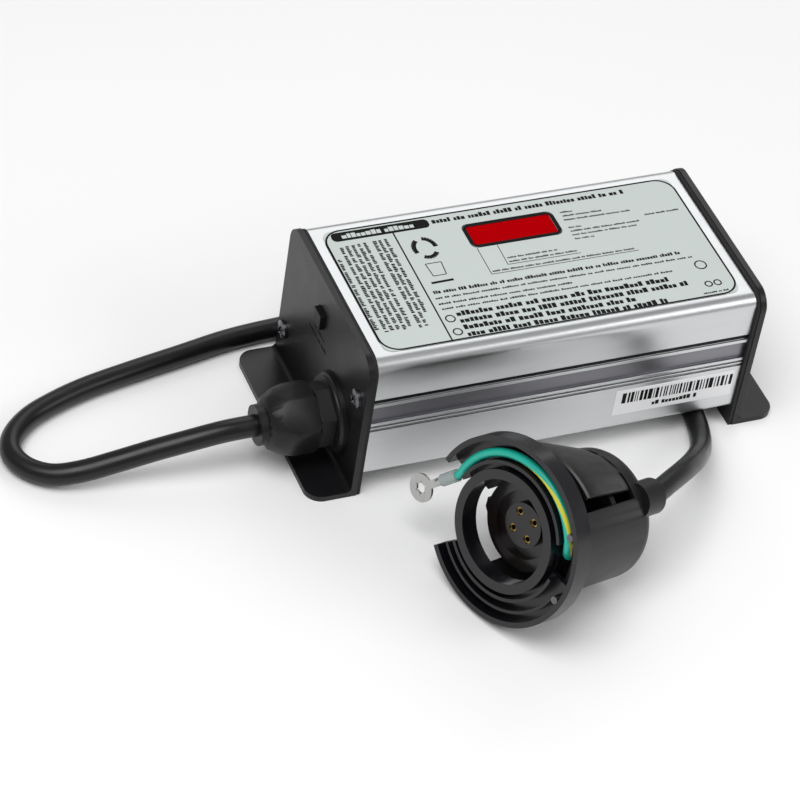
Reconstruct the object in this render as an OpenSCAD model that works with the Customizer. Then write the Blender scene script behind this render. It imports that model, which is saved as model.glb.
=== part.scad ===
// Lamp controller for an ultraviolet water disinfection chamber: an extruded box with two
// footed end plates, a display, an audible alarm, and a lamp connector on a short cord.
// Frame: +Z up, +X along the box towards the inlet end, origin under the centre of the box.

/* [Housing] */
// Overall length over the two end plates, without the feet
case_len = 172; // [150:1:200]
// Width of the end plates
plate_w = 88; // [84:1:100]
// Height of the end plates above the surface they stand on
plate_h = 70; // [66:1:80]
// Thickness of the end plate sheet
plate_t = 2.5; // [2:0.1:3]
// Thickness of the gasket behind each end plate
gasket_t = 1.6; // [1:0.1:2]
// Reach of each foot beyond its end plate
foot_len = 17.6; // [15:0.1:22]
// Corner radius of the end plates and feet
plate_r = 8; // [5:0.5:10]
// Width of the extruded housing
body_w = 85; // [82:0.5:86]
// Wall thickness of the extrusion
wall = 2.2; // [2:0.1:3]
// Clear gap under the housing
gap = 9.4; // [9.4:0.1:12]
// How far the end plates stand proud of the top of the housing
proud = 1.3; // [0.5:0.1:2]

/* [Lamp cord] */
// Diameter of the lamp cord
cord_d = 9; // [7:0.1:9]
// Sides of the cord's plain solid
cord_sides = 10; // [8:1:12]

/* [Lamp connector] */
// Outer radius of the connector's front flange
flange_r = 37.5; // [34:0.5:40]
// Radius of the opening that the lamp passes through
lamp_r = 20.5; // [19:0.5:21]
// Radius of the connector's cap
cap_r = 26; // [24:0.5:27]
// Depth of the connector's cap behind the front face
cap_depth = 54; // [50:1:60]
// Tilt of the connector's axis as it lies on the surface
conn_tilt = 15; // [12:1:15]
// Turn of the connector's axis away from the housing's length
conn_yaw = 20; // [0:1:40]

/* [Gland] */
// Radius of the gland's base ring
gland_ring_r = 16.7; // [15:0.1:18]
// Radius over the corners of the gland nut
gland_nut_r = 14.7; // [13:0.1:16]

/* [Hidden] */
$fn = 64;
half = case_len / 2;
face_x = half - plate_t;
body_x = face_x - gasket_t;
body_top = plate_h - proud;
body_half = body_w / 2;
body_r = 5;
inner_half = body_half - wall;
inner_low = gap + wall;
inner_top = body_top - wall;
board_z = 25;
board_t = 1.6;
board_top = board_z + board_t;
gland_y = -17.5;
gland_z = 22;
gland_bore = cord_d / 2 + 0.05;
gland_mouth = 33;
gland_thread_r = 8;
cord_end_x = 76;
button_y = 5;
button_z = 52.6;
button_w = 7;
inlet_z = 40;
inlet_w = 27.4;
inlet_h = 20;
inlet_pitch = 40;
port_far = [37.4, 17.6];
port_near = [-36.9, 47.2];
ports = [port_far, port_near];
screw_r = 1.9;
slot_x = 95;
slot_w = 5.2;
slot_l = 9;
window_y = 20;
window_l = 37;
window_w = 11.4;
label_t = 0.25;
flange_t = 8;
cap_off = 5;
cap_wall = 2.2;
conn_pos = [-54.3, -111, 38.3];
boss_pos = [20, 17.5];
socket_r = 18.4;
socket_z = -12;
tab_half = 30;
tab_gap = 8;
tab_root = -44;
tab_wall = 2.4;
wire_ring = 30.2;
wire_r = 1.8;
cord_pts = [
    [-119, -17.5, 22], [-132, -17.3, 21.5], [-146, -16.5, 19], [-160, -15, 15.5],
    [-174, -13.5, 11.5], [-188, -12, 8], [-199, -8.5, 5.5], [-207, -1, 4.5],
    [-210, 8, 4.5], [-206.5, 17, 4.5], [-198, 25, 4.5], [-186, 31, 4.5],
    [-170, 36.5, 4.5], [-150, 41, 4.5], [-127, 45.5, 4.5], [-104, 50, 4.5],
    [-80, 52, 4.5], [-52, 53, 4.5], [-24, 53, 4.5], [2, 51.5, 4.5],
    [24, 47, 4.5], [42, 38.5, 4.5], [55, 27, 4.5], [64, 11, 4.5],
    [69, -8, 4.5], [69, -25, 4.5], [67, -41, 5], [62, -55, 9],
    [54, -69, 16.5], [44, -81.5, 25], [33, -92, 32], [22, -100.5, 36.5]
];

// ---- helpers -------------------------------------------------------------------------

function unit(v) = v / norm(v);
function tangent(p, i) = unit(p[min(i + 1, len(p) - 1)] - p[max(i - 1, 0)]);
function ring(c, t, r, n) =
    let (s = unit(cross(t, [0, 0, 1])), u = cross(s, t))
    [for (k = [0 : n - 1]) c + r * (cos(360 * k / n) * s + sin(360 * k / n) * u)];

// A closed tube of radius r swept along the points p; ends take the given directions.
module sweep(p, r, n, first = undef, last = undef) {
    m = len(p);
    dirs = [for (i = [0 : m - 1])
        (i == 0 && first != undef) ? unit(first) :
        (i == m - 1 && last != undef) ? unit(last) : tangent(p, i)];
    pts = [for (i = [0 : m - 1]) for (q = ring(p[i], dirs[i], r, n)) q];
    sides = [for (i = [0 : m - 2]) for (k = [0 : n - 1])
        [i * n + k, i * n + (k + 1) % n, (i + 1) * n + (k + 1) % n, (i + 1) * n + k]];
    start_cap = [[for (k = [n - 1 : -1 : 0]) k]];
    end_cap = [[for (k = [0 : n - 1]) (m - 1) * n + k]];
    polyhedron(points = pts, faces = concat(start_cap, sides, end_cap));
}

// Rectangle from low to high corner with rounded corners of radius r.
module round_rect(low, high, r) {
    translate([low.x + r, low.y]) square([high.x - low.x - 2 * r, high.y - low.y]);
    translate([low.x, low.y + r]) square([high.x - low.x, high.y - low.y - 2 * r]);
    for (x = [low.x + r, high.x - r], y = [low.y + r, high.y - r])
        translate([x, y]) circle(r);
}

// Takes a Y-Z outline and extrudes it along X from x0 to x1.
module along_x(x0, x1) {
    translate([x0, 0, 0]) rotate([90, 0, 90]) linear_extrude(x1 - x0) children();
}

// A round bar along X between x0 and x1 at the given Y and Z.
module bar_x(x0, x1, y, z, r) {
    translate([x0, y, z]) rotate([0, 90, 0]) cylinder(h = x1 - x0, r = r);
}

module box(low, high) {
    translate(low) cube(high - low);
}

// Places the lamp connector: local +Z out of the front face, local +Y up, local +X right.
module on_connector() {
    translate(conn_pos) rotate([0, 90 - conn_tilt, 180 + conn_yaw]) rotate([0, 0, 90]) children();
}

// A ring segment from angle a0 over span a, with inner and outer radius and two heights.
module segment(a0, a, r0, r1, z0, z1) {
    rotate([0, 0, a0]) rotate_extrude(angle = a) translate([r0, z0]) square([r1 - r0, z1 - z0]);
}

// ---- housing and end plates ----------------------------------------------------------

module side_channels() {
    for (s = [-1, 1]) mirror([s < 0 ? 1 : 0, 0]) {
        translate([body_half - 1.2, 37]) square([2, 8.4]);
        translate([body_half - 0.9, 47]) square([2, 2.6]);
        translate([body_half - 0.9, 32.6]) square([2, 1.2]);
        translate([body_half - 0.9, 34.6]) square([2, 1]);
    }
}

module housing_outline() {
    difference() {
        union() {
            round_rect([-body_half, gap + 3], [body_half, body_top], body_r);
            round_rect([-body_half, gap], [body_half, gap + 20], 2.5);
        }
        side_channels();
        difference() {
            round_rect([-inner_half, inner_low], [inner_half, inner_top], 3);
            for (s = [-1, 1]) mirror([s < 0 ? 1 : 0, 0]) {
                translate([inner_half - 1, 30]) square([2, 22]);
                translate([inner_half - 3, board_z - 1.6]) square([4, 1.5]);
                translate([inner_half - 3, board_top + 0.1]) square([4, 1.5]);
            }
            for (p = ports) translate(p) circle(3.7);
        }
        for (p = ports) translate(p) circle(screw_r + 0.05);
    }
}

module housing() {
    color("silver") difference() {
        along_x(-body_x, body_x) housing_outline();
        box([-window_l / 2, window_y - window_w / 2, inner_top - 1],
            [window_l / 2, window_y + window_w / 2, body_top + 1]);
    }
}

// One end plate with its foot, for the +X end; the holes are its children.
module end_plate() {
    difference() {
        union() {
            along_x(face_x, half) {
                round_rect([-plate_w / 2, 12], [plate_w / 2, plate_h], plate_r);
                translate([-plate_w / 2, 0]) square([plate_w, 40]);
            }
            linear_extrude(plate_t) {
                translate([face_x, -plate_w / 2]) square([plate_t + 4, plate_w]);
                round_rect([half - 8, -plate_w / 2], [half + foot_len, plate_w / 2], plate_r - 1);
            }
            translate([half, -plate_w / 2, plate_t]) difference() {
                translate([-0.5, 0, -0.5]) cube([2.5, plate_w, 2.5]);
                translate([2, -1, 2]) rotate([-90, 0, 0]) cylinder(h = plate_w + 2, r = 2);
            }
        }
        translate([half - 20, -plate_w, -1]) cube([20 - plate_t, 2 * plate_w, 12]);
        for (p = ports) bar_x(face_x - 1, half + 1, p.x, p.y, screw_r + 0.2);
        translate([0, 0, -1]) linear_extrude(plate_t + 2)
            round_rect([slot_x - slot_l / 2, -slot_w / 2], [slot_x + slot_l / 2, slot_w / 2],
                slot_w / 2 - 0.001);
        children();
    }
}

module left_end_plate() {
    color("#161616") mirror([1, 0, 0]) end_plate() {
        union() {
            bar_x(face_x - 1, half + 1, gland_y, gland_z, gland_thread_r + 0.2);
            box([face_x - 1, button_y - button_w / 2 - 0.4, button_z - button_w / 2 - 0.4],
                [half + 1, button_y + button_w / 2 + 0.4, button_z + button_w / 2 + 0.4]);
        }
    }
}

module right_end_plate() {
    color("#161616") end_plate() {
        union() {
            box([face_x - 1, -inlet_w / 2, inlet_z - inlet_h / 2],
                [half + 1, inlet_w / 2, inlet_z + inlet_h / 2]);
            for (s = [-1, 1]) bar_x(face_x - 1, half + 1, s * inlet_pitch / 2, inlet_z, 1.7);
        }
    }
}

// Gasket frame between the housing and the +X end plate; it follows the plate's outline.
module end_gasket() {
    difference() {
        along_x(body_x, face_x) {
            round_rect([-plate_w / 2 + 0.3, 12], [plate_w / 2 - 0.3, plate_h - 0.3], plate_r);
            translate([-plate_w / 2 + 0.3, 0]) square([plate_w - 0.6, 40]);
        }
        along_x(body_x - 1, face_x + 1)
            round_rect([-inner_half + 6, inner_low], [inner_half - 6, inner_top - 2], 3);
        for (p = ports) bar_x(body_x - 1, face_x + 1, p.x, p.y, screw_r + 0.2);
    }
}

module left_gasket() {
    color("#101010") mirror([1, 0, 0]) end_gasket();
}

module right_gasket() {
    color("#101010") end_gasket();
}

// A cross-recess pan-head screw along +X: its head stands on the plane x.
module pan_screw(x, y, z, len, head_r, shank_r) {
    translate([x, y, z]) rotate([0, 90, 0]) difference() {
        union() {
            translate([0, 0, -len]) cylinder(h = len + 0.5, r = shank_r);
            intersection() {
                cylinder(h = 2.4, r = head_r);
                translate([0, 0, 2.4 - 1.9 * head_r]) sphere(r = 1.9 * head_r);
            }
        }
        for (a = [0, 90]) rotate([0, 0, a + 20])
            translate([-head_r * 0.6, -0.45, 1.2]) cube([head_r * 1.2, 0.9, 3]);
    }
}

module left_plate_screws() {
    color("#2a2a2a") mirror([1, 0, 0])
        for (p = ports) pan_screw(half, p.x, p.y, 15, 3.9, screw_r);
}

module right_plate_screws() {
    color("#2a2a2a") for (p = ports) pan_screw(half, p.x, p.y, 15, 3.9, screw_r);
}

// ---- labels and display --------------------------------------------------------------

module face_label() {
    color("#c3c9c7") difference() {
        translate([0, 0, body_top]) linear_extrude(label_t)
            round_rect([-77, -36.5], [77, 35.5], 4);
        box([-window_l / 2, window_y - window_w / 2, body_top - 1],
            [window_l / 2, window_y + window_w / 2, body_top + 1]);
    }
}

module serial_label() {
    color("white") box([26, -body_half - 0.2, 17.2], [79.5, -body_half, 30.4]);
}

module display_window() {
    color("#b30000") union() {
        box([-window_l / 2 + 0.15, window_y - window_w / 2 + 0.15, inner_top - 0.5],
            [window_l / 2 - 0.15, window_y + window_w / 2 - 0.15, body_top + 0.1]);
        box([-window_l / 2 - 2, window_y - window_w / 2 - 2, inner_top - 1.4],
            [window_l / 2 + 2, window_y + window_w / 2 + 2, inner_top]);
    }
}

display_top = inner_top - 2;
display_board_z = display_top - 8.4;
digit_count = 4;

module display_digits() {
    color("#202020") for (i = [0 : digit_count - 1])
        translate([-17 + i * 8.6, window_y - 5, display_board_z + board_t])
            cube([8.2, 10, display_top - display_board_z - board_t]);
}

module display_board() {
    color("#1d5c34") box([-30, 4, display_board_z], [30, 36, display_board_z + board_t]);
}

module display_spacers() {
    color("ivory") for (x = [-26, 26], y = [9, 30])
        translate([x, y, board_top]) cylinder(h = display_board_z - board_top, r = 2.6);
}

// ---- electronics ---------------------------------------------------------------------

module main_board() {
    color("#1d5c34") box([-70, -inner_half + 0.4, board_z], [70, inner_half - 0.4, board_top]);
}

module transformer_core() {
    color("#3b3b40") translate([-34, -14, board_top + 3]) difference() {
        translate([-15, -11, 0]) cube([30, 22, 24]);
        for (s = [-1, 1]) translate([s * 8 - 3.4, -12, 4]) cube([6.8, 24, 16]);
    }
}

module transformer_winding() {
    color("#c8a020") translate([-34, -14, board_top]) {
        difference() {
            translate([-10.6, -16, 7.4]) cube([21.2, 32, 15.2]);
            translate([-4.7, -11.2, 0]) cube([9.4, 22.4, 40]);
            for (s = [-1, 1]) translate([s * 13.2 - 2, -11.2, 0]) cube([4, 22.4, 40]);
        }
        for (s = [-1, 1]) translate([-12, s * 13.6 - 2, 0]) cube([24, 4, 7.5]);
    }
}

module line_choke() {
    color("#b06a28") translate([30, -22, board_top + 9]) rotate([90, 0, 0])
        rotate_extrude() translate([6, 0]) circle(r = 3);
    color("#202020") translate([24, -26, board_top]) cube([12, 8, 1.2]);
}

module bulk_capacitor() {
    color("#20262e") translate([6, -22, board_top]) {
        cylinder(h = 28, r = 9);
        translate([0, 0, 28]) cylinder(h = 0.6, r = 7.6);
    }
}

module film_capacitors() {
    color("#b8322a") for (x = [46, 56])
        translate([x, -34, board_top]) cube([7, 18, 13]);
    color("#b8322a") translate([-6, 2, board_top]) cube([18, 7, 12]);
}

module power_transistors() {
    color("#26262a") for (x = [-50, -34]) {
        translate([x, inner_half - 6.2, board_top + 5]) cube([10, 4.6, 15]);
        for (i = [-1, 0, 1]) translate([x + 5 + i * 2.5 - 0.4, inner_half - 4.2, board_top])
            cube([0.8, 0.5, 5.2]);
    }
}

module transistor_pads() {
    color("#8fa3ad") for (x = [-50, -34])
        translate([x - 0.6, inner_half - 1.6, board_top + 5.4]) cube([11.2, 0.58, 16]);
}

module control_chip() {
    color("#1a1a1c") translate([2, 14, board_top]) {
        translate([0, 0, 0.3]) cube([14, 14, 1.8]);
        for (i = [0 : 9]) {
            translate([1 + i * 1.3, -1, 0]) cube([0.5, 16, 0.35]);
        }
    }
}

module alarm_buzzer() {
    color("#151515") translate([-58, 0, board_top]) difference() {
        cylinder(h = 9, r = 7);
        translate([0, 0, 7]) cylinder(h = 3, r = 1);
    }
}

module line_fuse() {
    color("#cfd8dc") bar_x(42, 62, 20, board_top + 4, 2.5);
}

module fuse_clips() {
    color("#c9b37e") for (x = [44, 57]) difference() {
        translate([x, 16.6, board_top]) cube([3, 6.8, 6.2]);
        bar_x(x - 1, x + 4, 20, board_top + 4, 2.55);
        translate([x - 1, 18.3, board_top + 4]) cube([5, 3.4, 4]);
    }
}

module lamp_terminals() {
    color("#2f6f4f") translate([-64, -36, board_top]) difference() {
        cube([9, 24, 10]);
        for (i = [0 : 3]) translate([-1, 3.4 + i * 5.8, 4.4]) rotate([0, 90, 0])
            cylinder(h = 7, r = 1.7);
    }
}

module mains_terminals() {
    color("#2f6f4f") translate([50, -8, board_top]) difference() {
        translate([0, -2, 0]) cube([10, 20, 11]);
        for (i = [0 : 2]) translate([4, 2 + i * 6, 5]) rotate([0, 90, 0])
            cylinder(h = 7, r = 1.7);
    }
}

// Four leads from the end of the lamp cord's jacket to the terminals on the board.
module lamp_wires() {
    color("#303234") {
        for (i = [0 : 3]) {
            y = -32.6 + i * 5.8;
            sweep([[-cord_end_x, gland_y + (i - 1.5) * 2, gland_z],
                [-74, gland_y + (i - 1.5) * 2.4, gland_z + 0.4], [-71.5, (gland_y + y) / 2, 27],
                [-69, y, board_top + 3.8], [-61, y, board_top + 4.2]], 0.9, 8, [1, 0, 0], [1, 0, 0]);
        }
    }
}

module mains_wires() {
    color("#6b4a2b") for (i = [-1, 0, 1])
        sweep([[pin_back_x, i * 7, inlet_pin_z(i)], [65.5, i * 7, inlet_pin_z(i)],
            [63.5, i * 6.5, (inlet_pin_z(i) + board_top + 5) / 2], [61.5, i * 6, board_top + 5],
            [55.5, i * 6, board_top + 5]], 0.9, 8, [-1, 0, 0], [-1, 0, 0]);
}

// ---- reset button --------------------------------------------------------------------

button_face = -half - 2.2;
button_flange_x = -face_x + 0.1;
spring_fixed_x = -body_x + 5.5;

module reset_button() {
    color("#202020") union() {
        box([button_face, button_y - button_w / 2, button_z - button_w / 2],
            [button_flange_x + 0.2, button_y + button_w / 2, button_z + button_w / 2]);
        box([button_flange_x, button_y - 5, button_z - 5],
            [button_flange_x + 1.4, button_y + 5, button_z + 5]);
        bar_x(button_flange_x + 1.2, -body_x + 7.2, button_y, button_z, 1.5);
    }
}

module button_spring() {
    color("silver") translate([-body_x, button_y, button_z]) rotate([0, 90, 0]) difference() {
        cylinder(h = spring_fixed_x + body_x, r = 2.6);
        translate([0, 0, -1]) cylinder(h = 8, r = 1.9);
    }
}

module reset_switch() {
    color("#3a3a3a") difference() {
        union() {
            box([spring_fixed_x + 0.1, button_y - 6, button_z - 6],
                [-body_x + 15, button_y + 6, button_z + 6]);
            box([-body_x + 12, button_y - 5, board_top], [-body_x + 15, button_y + 5, button_z]);
        }
        bar_x(-body_x + 5, -body_x + 10.5, button_y, button_z, 1.56);
    }
}

// ---- mains inlet ---------------------------------------------------------------------

pin_back_x = half - 19;
function inlet_pin_z(i) = inlet_z + (i == 0 ? 2 : -4);

module inlet_body() {
    color("#141414") difference() {
        union() {
            along_x(half, half + 3) difference() {
                round_rect([-25, inlet_z - 11], [25, inlet_z + 11], 4);
                for (s = [-1, 1]) translate([s * inlet_pitch / 2, inlet_z]) circle(1.7);
            }
            box([half - 16, -inlet_w / 2 + 0.3, inlet_z - inlet_h / 2 + 0.3],
                [half + 1, inlet_w / 2 - 0.3, inlet_z + inlet_h / 2 - 0.3]);
        }
        box([half - 13, -12, inlet_z - 8], [half + 4, 12, inlet_z + 8]);
        for (i = [-1, 0, 1]) box([half - 17, i * 7 - 1, inlet_pin_z(i) - 2],
            [half - 12, i * 7 + 1, inlet_pin_z(i) + 2]);
    }
}

module inlet_pins() {
    color("#c8c8c8") for (i = [-1, 0, 1])
        box([pin_back_x, i * 7 - 0.98, inlet_pin_z(i) - 1.98],
            [half - 2.5, i * 7 + 0.98, inlet_pin_z(i) + 1.98]);
}

module inlet_screws() {
    color("#3a3a3a") for (s = [-1, 1])
        pan_screw(half + 3, s * inlet_pitch / 2, inlet_z, 12, 2.9, 1.5);
}

module inlet_nuts() {
    color("#b9b9b9") for (s = [-1, 1]) translate([face_x - 2.5, s * inlet_pitch / 2, inlet_z])
        rotate([0, 90, 0]) difference() {
            cylinder(h = 2.5, r = 3.1, $fn = 6);
            translate([0, 0, -1]) cylinder(h = 5, r = 1.52);
        }
}

// ---- cord gland ----------------------------------------------------------------------

module gland_washer() {
    color("#1c1c1c") mirror([1, 0, 0]) difference() {
        bar_x(half, half + 3.2, gland_y, gland_z, gland_ring_r);
        bar_x(half - 1, half + 5, gland_y, gland_z, gland_thread_r + 0.2);
        translate([half + 3.2, gland_y, gland_z]) rotate([0, 90, 0]) rotate_extrude()
            translate([gland_ring_r, 0]) circle(r = 1.2);
    }
}

module gland_body() {
    color("#121212") mirror([1, 0, 0]) difference() {
        union() {
            bar_x(cord_end_x, half + 4, gland_y, gland_z, gland_thread_r);
            translate([half + 3.2, gland_y, gland_z]) rotate([0, 90, 0])
                cylinder(h = 6.4, r = 13.6, $fn = 6);
            bar_x(half + 9, half + 20, gland_y, gland_z, 10.2);
        }
        bar_x(half - 14, half + 21, gland_y, gland_z, gland_bore);
        bar_x(half + 11, half + 21, gland_y, gland_z, 7.6);
    }
}

module gland_locknut() {
    color("#121212") mirror([1, 0, 0]) translate([face_x - 5, gland_y, gland_z])
        rotate([0, 90, 0]) difference() {
            rotate([0, 0, 30]) cylinder(h = 5, r = 11.5, $fn = 6);
            translate([0, 0, -1]) cylinder(h = 8, r = gland_thread_r + 0.03);
        }
}

module gland_seal() {
    color("#2a2a2a") mirror([1, 0, 0]) difference() {
        bar_x(half + 11.1, half + 25, gland_y, gland_z, 7.5);
        bar_x(half + 10, half + 26, gland_y, gland_z, gland_bore);
    }
}

// Hexagonal nut with a domed front, a mouth collar, and a bore that narrows to the cord.
module gland_nut() {
    color("#161616") mirror([1, 0, 0]) translate([half, gland_y, gland_z]) rotate([0, 90, 0])
        difference() {
            union() {
                intersection() {
                    translate([0, 0, 9.8]) rotate([0, 0, 12])
                        cylinder(h = 20, r = gland_nut_r, $fn = 6);
                    rotate_extrude() polygon([[0, 9.8], [13.9, 9.8], [14.7, 11], [14.7, 19],
                        [13.4, 24], [10.6, 28.6], [8.4, 29.8], [0, 29.8]]);
                }
                translate([0, 0, 28]) cylinder(h = gland_mouth - 28, r = 8.3);
            }
            translate([0, 0, 9]) cylinder(h = 16.2, r = 10.26);
            translate([0, 0, 20]) cylinder(h = 20, r = gland_bore);
        }
}

// ---- lamp cord -----------------------------------------------------------------------

conn_out = [cos(conn_tilt) * cos(conn_yaw), cos(conn_tilt) * sin(conn_yaw), -sin(conn_tilt)];
conn_up = [sin(conn_tilt) * cos(conn_yaw), sin(conn_tilt) * sin(conn_yaw), cos(conn_tilt)];
conn_right = [sin(conn_yaw), -cos(conn_yaw), 0];
boss_z = -cap_depth - 4;
boss_len = 10;
boss_bore = 7.6;
cord_exit = conn_pos - boss_z * conn_out + boss_pos.x * conn_right + boss_pos.y * conn_up;

// The jacketed ends of the lamp cord, held inside the gland and inside the connector's boss.
module cord_ends() {
    color("#151515") {
        bar_x(-half - gland_mouth, -cord_end_x, gland_y, gland_z, cord_d / 2);
        on_connector() translate([boss_pos.x, boss_pos.y, boss_z])
            cylinder(h = boss_bore - 0.2, r = cord_d / 2);
    }
}

module lamp_cord() {
    color("#151515") sweep(concat(cord_pts, [cord_exit]), cord_d / 2, cord_sides,
        [-1, 0, 0], -conn_out);
}

// ---- lamp connector ------------------------------------------------------------------

horn_a = 225;
open_a = 302;
recess_a = -6;
recess_span = 32;
pilot_a = [33, -14];
pilot_ring = 33.75;
hub_r = 24.4;
web_top = -5.5;
rim_wall = 2.2;
rib_span = 118;

module connector_ring() {
    color("#1b1b1c") on_connector() difference() {
        union() {
            difference() {
                translate([0, 0, -flange_t]) cylinder(h = flange_t, r = hub_r);
                translate([0, 0, -flange_t - 1]) cylinder(h = flange_t + 2, r = lamp_r);
            }
            segment(horn_a, open_a, hub_r - 0.2, flange_r, -flange_t, web_top);
            segment(horn_a, open_a, flange_r - rim_wall, flange_r, web_top - 0.1, 0);
            segment(horn_a, open_a, 26.4, 27.8, web_top - 0.1, -0.8);
            segment(horn_a, rib_span, 31.2, 32.4, web_top - 0.1, -1.6);
            for (a = pilot_a) rotate([0, 0, a]) translate([pilot_ring, 0, web_top - 0.5])
                cylinder(h = 4.6, r = 1.7);
        }
        segment(recess_a, recess_span, 24.6, 32.4, -flange_t - 1, 1);
        for (a = pilot_a) rotate([0, 0, a]) translate([pilot_ring, 0, -7]) cylinder(h = 8, r = 0.72);
    }
}

module ring_screws() {
    color("#3c3c3f") on_connector() for (a = pilot_a) rotate([0, 0, a])
        translate([pilot_ring, 0, -1.4]) {
            cylinder(h = 1.2, r = 1.5);
            translate([0, 0, -5]) cylinder(h = 5.2, r = 0.7);
        }
}

side_gap_a = 168;
side_gap_span = 84;
side_gap_z = -33.6;

module cap_shell() {
    rotate_extrude() polygon([[0, -cap_depth], [cap_r - 5, -cap_depth],
        for (a = [-75 : 15 : 0]) [cap_r - 5 + 5 * cos(a), -cap_depth + 5 + 5 * sin(a)],
        [cap_r, -flange_t], [cap_r - cap_wall, -flange_t], [cap_r - cap_wall, -cap_depth + 5],
        [cap_r - 5, -cap_depth + cap_wall], [0, -cap_depth + cap_wall]]);
}

module connector_cap() {
    color("#2a292a") on_connector() difference() {
        union() {
            translate([cap_off, 0, 0]) cap_shell();
            translate([boss_pos.x, boss_pos.y, boss_z]) cylinder(h = boss_len, r = 7.2);
        }
        translate([cap_off, 0, 0]) for (a = [90, 270])
            segment(a - tab_half - tab_gap, 2 * (tab_half + tab_gap), 20, cap_r + 3,
                tab_root - 1.1, -9.2);
        translate([cap_off, 0, 0])
            segment(side_gap_a, side_gap_span, 20, cap_r + 4, side_gap_z, -flange_t + 1);
        translate([boss_pos.x, boss_pos.y, boss_z - 1])
            cylinder(h = boss_bore + 1, r = cord_d / 2 + 0.05);
        translate([cap_off, 0, -cap_depth + cap_wall]) cylinder(h = cap_depth - flange_t - 12,
            r = cap_r - cap_wall - 3);
    }
}

// A squeeze tab: a curved lever that flares out behind the flange, with a round root.
module squeeze_tab(side) {
    color("#232324") on_connector() translate([cap_off, 0, 0]) {
        rotate([0, 0, 90 * side - tab_half]) rotate_extrude(angle = 2 * tab_half)
            polygon([[24.1, tab_root], [25.9, tab_root], [28, -39.5], [32.2, -26], [34, -20],
                [35.6, -13.5], [35.6, -11.4], [34.8, -10.6], [35.6 - tab_wall, -10.6],
                [35.6 - tab_wall, -13.6], [31.7, -19.6], [29.9, -25.4], [26, -37.8],
                [24.1, -41.6]]);
        translate([-6, 25 * side, tab_root]) rotate([0, 90, 0]) cylinder(h = 12, r = 0.9);
    }
}

module upper_tab() {
    squeeze_tab(1);
}

module lower_tab() {
    squeeze_tab(-1);
}

module lamp_socket() {
    color("#1d1a1b") on_connector() difference() {
        union() {
            translate([0, 0, -34]) cylinder(h = 34 + socket_z, r = 17);
            translate([0, 0, socket_z - 5]) cylinder(h = 5, r = socket_r);
            rotate([0, 0, 188]) translate([socket_r - 1.5, -2, socket_z - 5]) cube([2.6, 4, 5]);
        }
        for (a = [45 : 90 : 315]) rotate([0, 0, a]) translate([5.6, 0, -35]) cylinder(h = 40, r = 1.66);
        difference() {
            translate([0, 0, socket_z - 2.4]) cylinder(h = 4, r = 13.6);
            translate([0, 0, socket_z - 3]) cylinder(h = 6, r = 9);
        }
    }
}

module socket_contacts() {
    color("#c9a94e") on_connector() for (a = [45 : 90 : 315]) rotate([0, 0, a])
        translate([5.6, 0, -41]) difference() {
            cylinder(h = 28.4, r = 1.64);
            translate([0, 0, 14]) cylinder(h = 16, r = 1.1);
        }
}

module socket_carrier() {
    color("#26262a") on_connector() difference() {
        translate([cap_off, 0, -36.5]) intersection() {
            cylinder(h = 2.5, r = cap_r - cap_wall - 0.1);
            translate([-30, -20.5, -1]) cube([60, 41, 5]);
        }
        for (a = [45 : 90 : 315]) rotate([0, 0, a]) translate([5.6, 0, -38]) cylinder(h = 6, r = 1.66);
    }
}

wire_z = -3.6;
terminal_dir = unit([-5, -6, 0]);
terminal_at = [-34.2, -0.4, wire_z];
eye_at = 15.5;
eye_r = 5.8;
eye_hole_r = 2.1;
wire_end_a = 162;
wire_start_a = 30;
wire_pts = concat(
    [wire_point(26, 11, -13), wire_point(26.1, 11.5, -10.5), wire_point(26.7, 14, -7.8),
        wire_point(28.6, 20, -5), wire_point(29.8, 26, -3.8)],
    [for (a = [wire_start_a : 11 : wire_end_a]) wire_point(wire_ring, a, wire_z)],
    [terminal_at - 6.2 * terminal_dir, terminal_at]);
function wire_point(r, a, z) = [r * cos(a), r * sin(a), z];

module ground_wire() {
    color("#1fb5a0") on_connector() sweep(wire_pts, wire_r, 10, [0.1, 0.1, 1], terminal_dir);
}

// Child's +X runs along the wire's end, from the end of the insulation.
module at_terminal() {
    on_connector() translate(terminal_at)
        rotate([0, 0, atan2(terminal_dir.y, terminal_dir.x)]) children();
}

module ground_sleeve() {
    color("#8d9694") at_terminal() difference() {
        bar_x(-5.4, 3, 0, 0, 2.5);
        bar_x(-7, 0, 0, 0, 1.86);
        bar_x(-1, 4, 0, 0, 1.75);
    }
}

module ring_terminal() {
    color("#d8dadc") at_terminal() union() {
        bar_x(0.1, 6, 0, 0, 1.7);
        box([5, -1.7, -0.5], [eye_at - 4.5, 1.7, 0.5]);
        translate([eye_at, 0, -0.5]) difference() {
            cylinder(h = 1, r = eye_r);
            translate([0, 0, -1]) cylinder(h = 3, r = eye_hole_r);
            for (k = [0 : 5]) rotate([0, 0, 60 * k]) translate([0, -0.2, -1]) cube([2.9, 0.4, 3]);
        }
    }
}

housing();
left_end_plate();
right_end_plate();
left_gasket();
right_gasket();
left_plate_screws();
right_plate_screws();
face_label();
serial_label();
display_window();
display_digits();
display_board();
display_spacers();
main_board();
transformer_core();
transformer_winding();
line_choke();
bulk_capacitor();
film_capacitors();
power_transistors();
transistor_pads();
control_chip();
alarm_buzzer();
line_fuse();
fuse_clips();
lamp_terminals();
mains_terminals();
lamp_wires();
mains_wires();
reset_switch();
reset_button();
button_spring();
inlet_body();
inlet_pins();
inlet_screws();
inlet_nuts();
gland_washer();
gland_body();
gland_locknut();
gland_seal();
gland_nut();
cord_ends();
lamp_cord();
connector_ring();
connector_cap();
upper_tab();
lower_tab();
lamp_socket();
socket_contacts();
socket_carrier();
ring_screws();
ground_wire();
ground_sleeve();
ring_terminal();
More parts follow.
